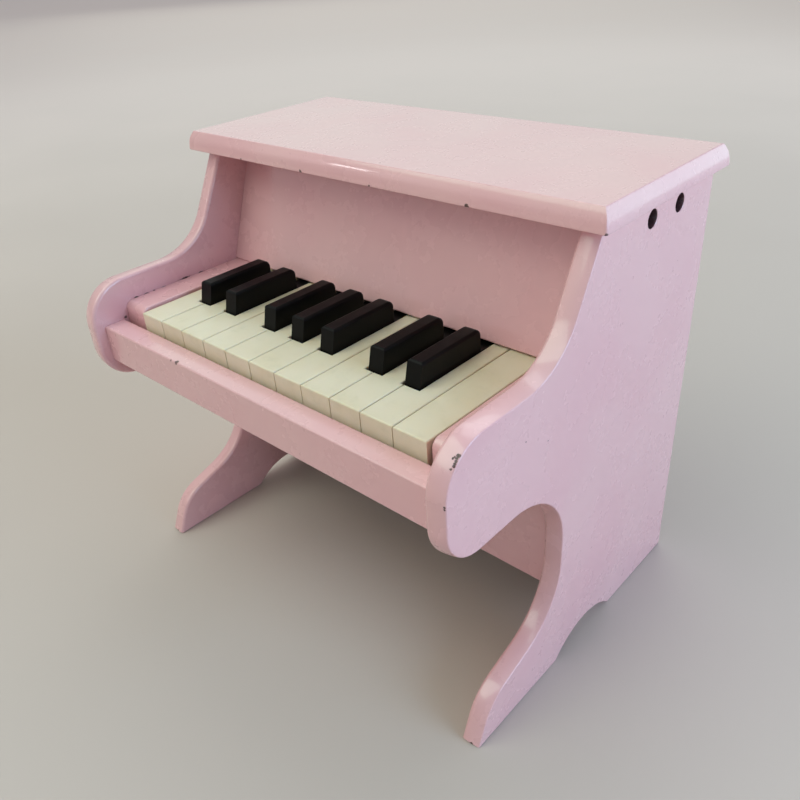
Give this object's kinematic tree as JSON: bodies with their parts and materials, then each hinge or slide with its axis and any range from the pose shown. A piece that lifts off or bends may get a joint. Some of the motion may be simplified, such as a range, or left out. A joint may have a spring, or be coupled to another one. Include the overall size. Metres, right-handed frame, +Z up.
{
  "type": "toy piano",
  "caption": "Small upright toy piano in painted wood: hinged keys swing hammers that strike metal chime bars behind a leaning fallboard.",
  "frame": {"origin": "on the floor, under the middle of the object's box", "axes": "+X to the player's right along the keyboard, +Y from the keyboard to the back panel, +Z up"},
  "size_m": [0.3, 0.2256, 0.2713],
  "materials": {
    "pink_paint": "gloss paint, lightly worn",
    "bare_wood": "planed, unpainted",
    "back_board": "thin unpainted board",
    "white_key": "moulded, satin gloss, yellowed",
    "black_key": "moulded, satin",
    "hammer_plastic": "moulded, matt",
    "chime_metal": "rolled, satin",
    "steel": "drawn wire, zinc plated",
    "felt": "pressed wool felt"
  },
  "bodies": {
    "case": {"left_side_panel": "pink_paint", "right_side_panel": "pink_paint", "lid": "pink_paint", "fallboard": "pink_paint", "key_slip": "pink_paint", "left_cheek_block": "pink_paint", "right_cheek_block": "pink_paint", "knee_panel": "pink_paint", "key_bed": "bare_wood", "left_action_bracket": "bare_wood", "right_action_bracket": "bare_wood", "rear_chime_rail": "bare_wood", "front_chime_rail": "bare_wood", "key_rest_rail": "bare_wood", "back_panel": "back_board", "chime_bars": "chime_metal", "key_axle": "steel", "hammer_axle": "steel", "chime_pins": "steel", "back_panel_screws": "steel", "chime_felts": "felt", "key_rest_felt": "felt", "key_stop_felt": "felt"},
    "white_key_01": {"white_key_01": "white_key"},
    "black_key_01": {"black_key_01": "black_key"},
    "white_key_02": {"white_key_02": "white_key"},
    "black_key_02": {"black_key_02": "black_key"},
    "white_key_03": {"white_key_03": "white_key"},
    "white_key_04": {"white_key_04": "white_key"},
    "black_key_03": {"black_key_03": "black_key"},
    "white_key_05": {"white_key_05": "white_key"},
    "black_key_04": {"black_key_04": "black_key"},
    "white_key_06": {"white_key_06": "white_key"},
    "black_key_05": {"black_key_05": "black_key"},
    "white_key_07": {"white_key_07": "white_key"},
    "white_key_08": {"white_key_08": "white_key"},
    "black_key_06": {"black_key_06": "black_key"},
    "white_key_09": {"white_key_09": "white_key"},
    "black_key_07": {"black_key_07": "black_key"},
    "white_key_10": {"white_key_10": "white_key"},
    "white_key_11": {"white_key_11": "white_key"},
    "hammer_01": {"hammer_01": "hammer_plastic"},
    "hammer_02": {"hammer_02": "hammer_plastic"},
    "hammer_03": {"hammer_03": "hammer_plastic"},
    "hammer_04": {"hammer_04": "hammer_plastic"},
    "hammer_05": {"hammer_05": "hammer_plastic"},
    "hammer_06": {"hammer_06": "hammer_plastic"},
    "hammer_07": {"hammer_07": "hammer_plastic"},
    "hammer_08": {"hammer_08": "hammer_plastic"},
    "hammer_09": {"hammer_09": "hammer_plastic"},
    "hammer_10": {"hammer_10": "hammer_plastic"},
    "hammer_11": {"hammer_11": "hammer_plastic"},
    "hammer_12": {"hammer_12": "hammer_plastic"},
    "hammer_13": {"hammer_13": "hammer_plastic"},
    "hammer_14": {"hammer_14": "hammer_plastic"},
    "hammer_15": {"hammer_15": "hammer_plastic"},
    "hammer_16": {"hammer_16": "hammer_plastic"},
    "hammer_17": {"hammer_17": "hammer_plastic"},
    "hammer_18": {"hammer_18": "hammer_plastic"}
  },
  "joints": [
    {"name": "white_key_01_press", "type": "hinge", "parent": "case", "child": "white_key_01", "pos_m": [-0.10375, 0.0128, 0.176], "axis": [1, 0, 0], "range_deg": [0, 3.3], "stiffness_Nm_per_rad": 0.2, "springref_deg": -5.73},
    {"name": "hammer_01_swing", "type": "hinge", "parent": "case", "child": "hammer_01", "pos_m": [-0.10375, 0.0968, 0.202], "axis": [-1, 0, 0], "range_deg": [0, 20]},
    {"name": "black_key_01_press", "type": "hinge", "parent": "case", "child": "black_key_01", "pos_m": [-0.09145, 0.0128, 0.176], "axis": [1, 0, 0], "range_deg": [0, 3.3], "stiffness_Nm_per_rad": 0.2, "springref_deg": -5.73},
    {"name": "hammer_02_swing", "type": "hinge", "parent": "case", "child": "hammer_02", "pos_m": [-0.09145, 0.0968, 0.202], "axis": [-1, 0, 0], "range_deg": [0, 20]},
    {"name": "white_key_02_press", "type": "hinge", "parent": "case", "child": "white_key_02", "pos_m": [-0.07915, 0.0128, 0.176], "axis": [1, 0, 0], "range_deg": [0, 3.3], "stiffness_Nm_per_rad": 0.2, "springref_deg": -5.73},
    {"name": "hammer_03_swing", "type": "hinge", "parent": "case", "child": "hammer_03", "pos_m": [-0.07915, 0.0968, 0.202], "axis": [-1, 0, 0], "range_deg": [0, 20]},
    {"name": "black_key_02_press", "type": "hinge", "parent": "case", "child": "black_key_02", "pos_m": [-0.06685, 0.0128, 0.176], "axis": [1, 0, 0], "range_deg": [0, 3.3], "stiffness_Nm_per_rad": 0.2, "springref_deg": -5.73},
    {"name": "hammer_04_swing", "type": "hinge", "parent": "case", "child": "hammer_04", "pos_m": [-0.06685, 0.0968, 0.202], "axis": [-1, 0, 0], "range_deg": [0, 20]},
    {"name": "white_key_03_press", "type": "hinge", "parent": "case", "child": "white_key_03", "pos_m": [-0.05455, 0.0128, 0.176], "axis": [1, 0, 0], "range_deg": [0, 3.3], "stiffness_Nm_per_rad": 0.2, "springref_deg": -5.73},
    {"name": "hammer_05_swing", "type": "hinge", "parent": "case", "child": "hammer_05", "pos_m": [-0.05455, 0.0968, 0.202], "axis": [-1, 0, 0], "range_deg": [0, 20]},
    {"name": "white_key_04_press", "type": "hinge", "parent": "case", "child": "white_key_04", "pos_m": [-0.04254, 0.0128, 0.176], "axis": [1, 0, 0], "range_deg": [0, 3.3], "stiffness_Nm_per_rad": 0.2, "springref_deg": -5.73},
    {"name": "hammer_06_swing", "type": "hinge", "parent": "case", "child": "hammer_06", "pos_m": [-0.04254, 0.0968, 0.202], "axis": [-1, 0, 0], "range_deg": [0, 20]},
    {"name": "black_key_03_press", "type": "hinge", "parent": "case", "child": "black_key_03", "pos_m": [-0.03083, 0.0128, 0.176], "axis": [1, 0, 0], "range_deg": [0, 3.3], "stiffness_Nm_per_rad": 0.2, "springref_deg": -5.73},
    {"name": "hammer_07_swing", "type": "hinge", "parent": "case", "child": "hammer_07", "pos_m": [-0.03083, 0.0968, 0.202], "axis": [-1, 0, 0], "range_deg": [0, 20]},
    {"name": "white_key_05_press", "type": "hinge", "parent": "case", "child": "white_key_05", "pos_m": [-0.01911, 0.0128, 0.176], "axis": [1, 0, 0], "range_deg": [0, 3.3], "stiffness_Nm_per_rad": 0.2, "springref_deg": -5.73},
    {"name": "hammer_08_swing", "type": "hinge", "parent": "case", "child": "hammer_08", "pos_m": [-0.01911, 0.0968, 0.202], "axis": [-1, 0, 0], "range_deg": [0, 20]},
    {"name": "black_key_04_press", "type": "hinge", "parent": "case", "child": "black_key_04", "pos_m": [-0.0074, 0.0128, 0.176], "axis": [1, 0, 0], "range_deg": [0, 3.3], "stiffness_Nm_per_rad": 0.2, "springref_deg": -5.73},
    {"name": "hammer_09_swing", "type": "hinge", "parent": "case", "child": "hammer_09", "pos_m": [-0.0074, 0.0968, 0.202], "axis": [-1, 0, 0], "range_deg": [0, 20]},
    {"name": "white_key_06_press", "type": "hinge", "parent": "case", "child": "white_key_06", "pos_m": [0.00431, 0.0128, 0.176], "axis": [1, 0, 0], "range_deg": [0, 3.3], "stiffness_Nm_per_rad": 0.2, "springref_deg": -5.73},
    {"name": "hammer_10_swing", "type": "hinge", "parent": "case", "child": "hammer_10", "pos_m": [0.00431, 0.0968, 0.202], "axis": [-1, 0, 0], "range_deg": [0, 20]},
    {"name": "black_key_05_press", "type": "hinge", "parent": "case", "child": "black_key_05", "pos_m": [0.01603, 0.0128, 0.176], "axis": [1, 0, 0], "range_deg": [0, 3.3], "stiffness_Nm_per_rad": 0.2, "springref_deg": -5.73},
    {"name": "hammer_11_swing", "type": "hinge", "parent": "case", "child": "hammer_11", "pos_m": [0.01603, 0.0968, 0.202], "axis": [-1, 0, 0], "range_deg": [0, 20]},
    {"name": "white_key_07_press", "type": "hinge", "parent": "case", "child": "white_key_07", "pos_m": [0.02774, 0.0128, 0.176], "axis": [1, 0, 0], "range_deg": [0, 3.3], "stiffness_Nm_per_rad": 0.2, "springref_deg": -5.73},
    {"name": "hammer_12_swing", "type": "hinge", "parent": "case", "child": "hammer_12", "pos_m": [0.02774, 0.0968, 0.202], "axis": [-1, 0, 0], "range_deg": [0, 20]},
    {"name": "white_key_08_press", "type": "hinge", "parent": "case", "child": "white_key_08", "pos_m": [0.03975, 0.0128, 0.176], "axis": [1, 0, 0], "range_deg": [0, 3.3], "stiffness_Nm_per_rad": 0.2, "springref_deg": -5.73},
    {"name": "hammer_13_swing", "type": "hinge", "parent": "case", "child": "hammer_13", "pos_m": [0.03975, 0.0968, 0.202], "axis": [-1, 0, 0], "range_deg": [0, 20]},
    {"name": "black_key_06_press", "type": "hinge", "parent": "case", "child": "black_key_06", "pos_m": [0.05205, 0.0128, 0.176], "axis": [1, 0, 0], "range_deg": [0, 3.3], "stiffness_Nm_per_rad": 0.2, "springref_deg": -5.73},
    {"name": "hammer_14_swing", "type": "hinge", "parent": "case", "child": "hammer_14", "pos_m": [0.05205, 0.0968, 0.202], "axis": [-1, 0, 0], "range_deg": [0, 20]},
    {"name": "white_key_09_press", "type": "hinge", "parent": "case", "child": "white_key_09", "pos_m": [0.06435, 0.0128, 0.176], "axis": [1, 0, 0], "range_deg": [0, 3.3], "stiffness_Nm_per_rad": 0.2, "springref_deg": -5.73},
    {"name": "hammer_15_swing", "type": "hinge", "parent": "case", "child": "hammer_15", "pos_m": [0.06435, 0.0968, 0.202], "axis": [-1, 0, 0], "range_deg": [0, 20]},
    {"name": "black_key_07_press", "type": "hinge", "parent": "case", "child": "black_key_07", "pos_m": [0.07665, 0.0128, 0.176], "axis": [1, 0, 0], "range_deg": [0, 3.3], "stiffness_Nm_per_rad": 0.2, "springref_deg": -5.73},
    {"name": "hammer_16_swing", "type": "hinge", "parent": "case", "child": "hammer_16", "pos_m": [0.07665, 0.0968, 0.202], "axis": [-1, 0, 0], "range_deg": [0, 20]},
    {"name": "white_key_10_press", "type": "hinge", "parent": "case", "child": "white_key_10", "pos_m": [0.08895, 0.0128, 0.176], "axis": [1, 0, 0], "range_deg": [0, 3.3], "stiffness_Nm_per_rad": 0.2, "springref_deg": -5.73},
    {"name": "hammer_17_swing", "type": "hinge", "parent": "case", "child": "hammer_17", "pos_m": [0.08895, 0.0968, 0.202], "axis": [-1, 0, 0], "range_deg": [0, 20]},
    {"name": "white_key_11_press", "type": "hinge", "parent": "case", "child": "white_key_11", "pos_m": [0.10096, 0.0128, 0.176], "axis": [1, 0, 0], "range_deg": [0, 3.3], "stiffness_Nm_per_rad": 0.2, "springref_deg": -5.73},
    {"name": "hammer_18_swing", "type": "hinge", "parent": "case", "child": "hammer_18", "pos_m": [0.10096, 0.0968, 0.202], "axis": [-1, 0, 0], "range_deg": [0, 20]}
  ],
  "couplings": [
    {"joint": "hammer_01_swing", "follows": "white_key_01_press", "ratio": 6.05},
    {"joint": "hammer_02_swing", "follows": "black_key_01_press", "ratio": 6.05},
    {"joint": "hammer_03_swing", "follows": "white_key_02_press", "ratio": 6.05},
    {"joint": "hammer_04_swing", "follows": "black_key_02_press", "ratio": 6.05},
    {"joint": "hammer_05_swing", "follows": "white_key_03_press", "ratio": 6.05},
    {"joint": "hammer_06_swing", "follows": "white_key_04_press", "ratio": 6.05},
    {"joint": "hammer_07_swing", "follows": "black_key_03_press", "ratio": 6.05},
    {"joint": "hammer_08_swing", "follows": "white_key_05_press", "ratio": 6.05},
    {"joint": "hammer_09_swing", "follows": "black_key_04_press", "ratio": 6.05},
    {"joint": "hammer_10_swing", "follows": "white_key_06_press", "ratio": 6.05},
    {"joint": "hammer_11_swing", "follows": "black_key_05_press", "ratio": 6.05},
    {"joint": "hammer_12_swing", "follows": "white_key_07_press", "ratio": 6.05},
    {"joint": "hammer_13_swing", "follows": "white_key_08_press", "ratio": 6.05},
    {"joint": "hammer_14_swing", "follows": "black_key_06_press", "ratio": 6.05},
    {"joint": "hammer_15_swing", "follows": "white_key_09_press", "ratio": 6.05},
    {"joint": "hammer_16_swing", "follows": "black_key_07_press", "ratio": 6.05},
    {"joint": "hammer_17_swing", "follows": "white_key_10_press", "ratio": 6.05},
    {"joint": "hammer_18_swing", "follows": "white_key_11_press", "ratio": 6.05}
  ]
}
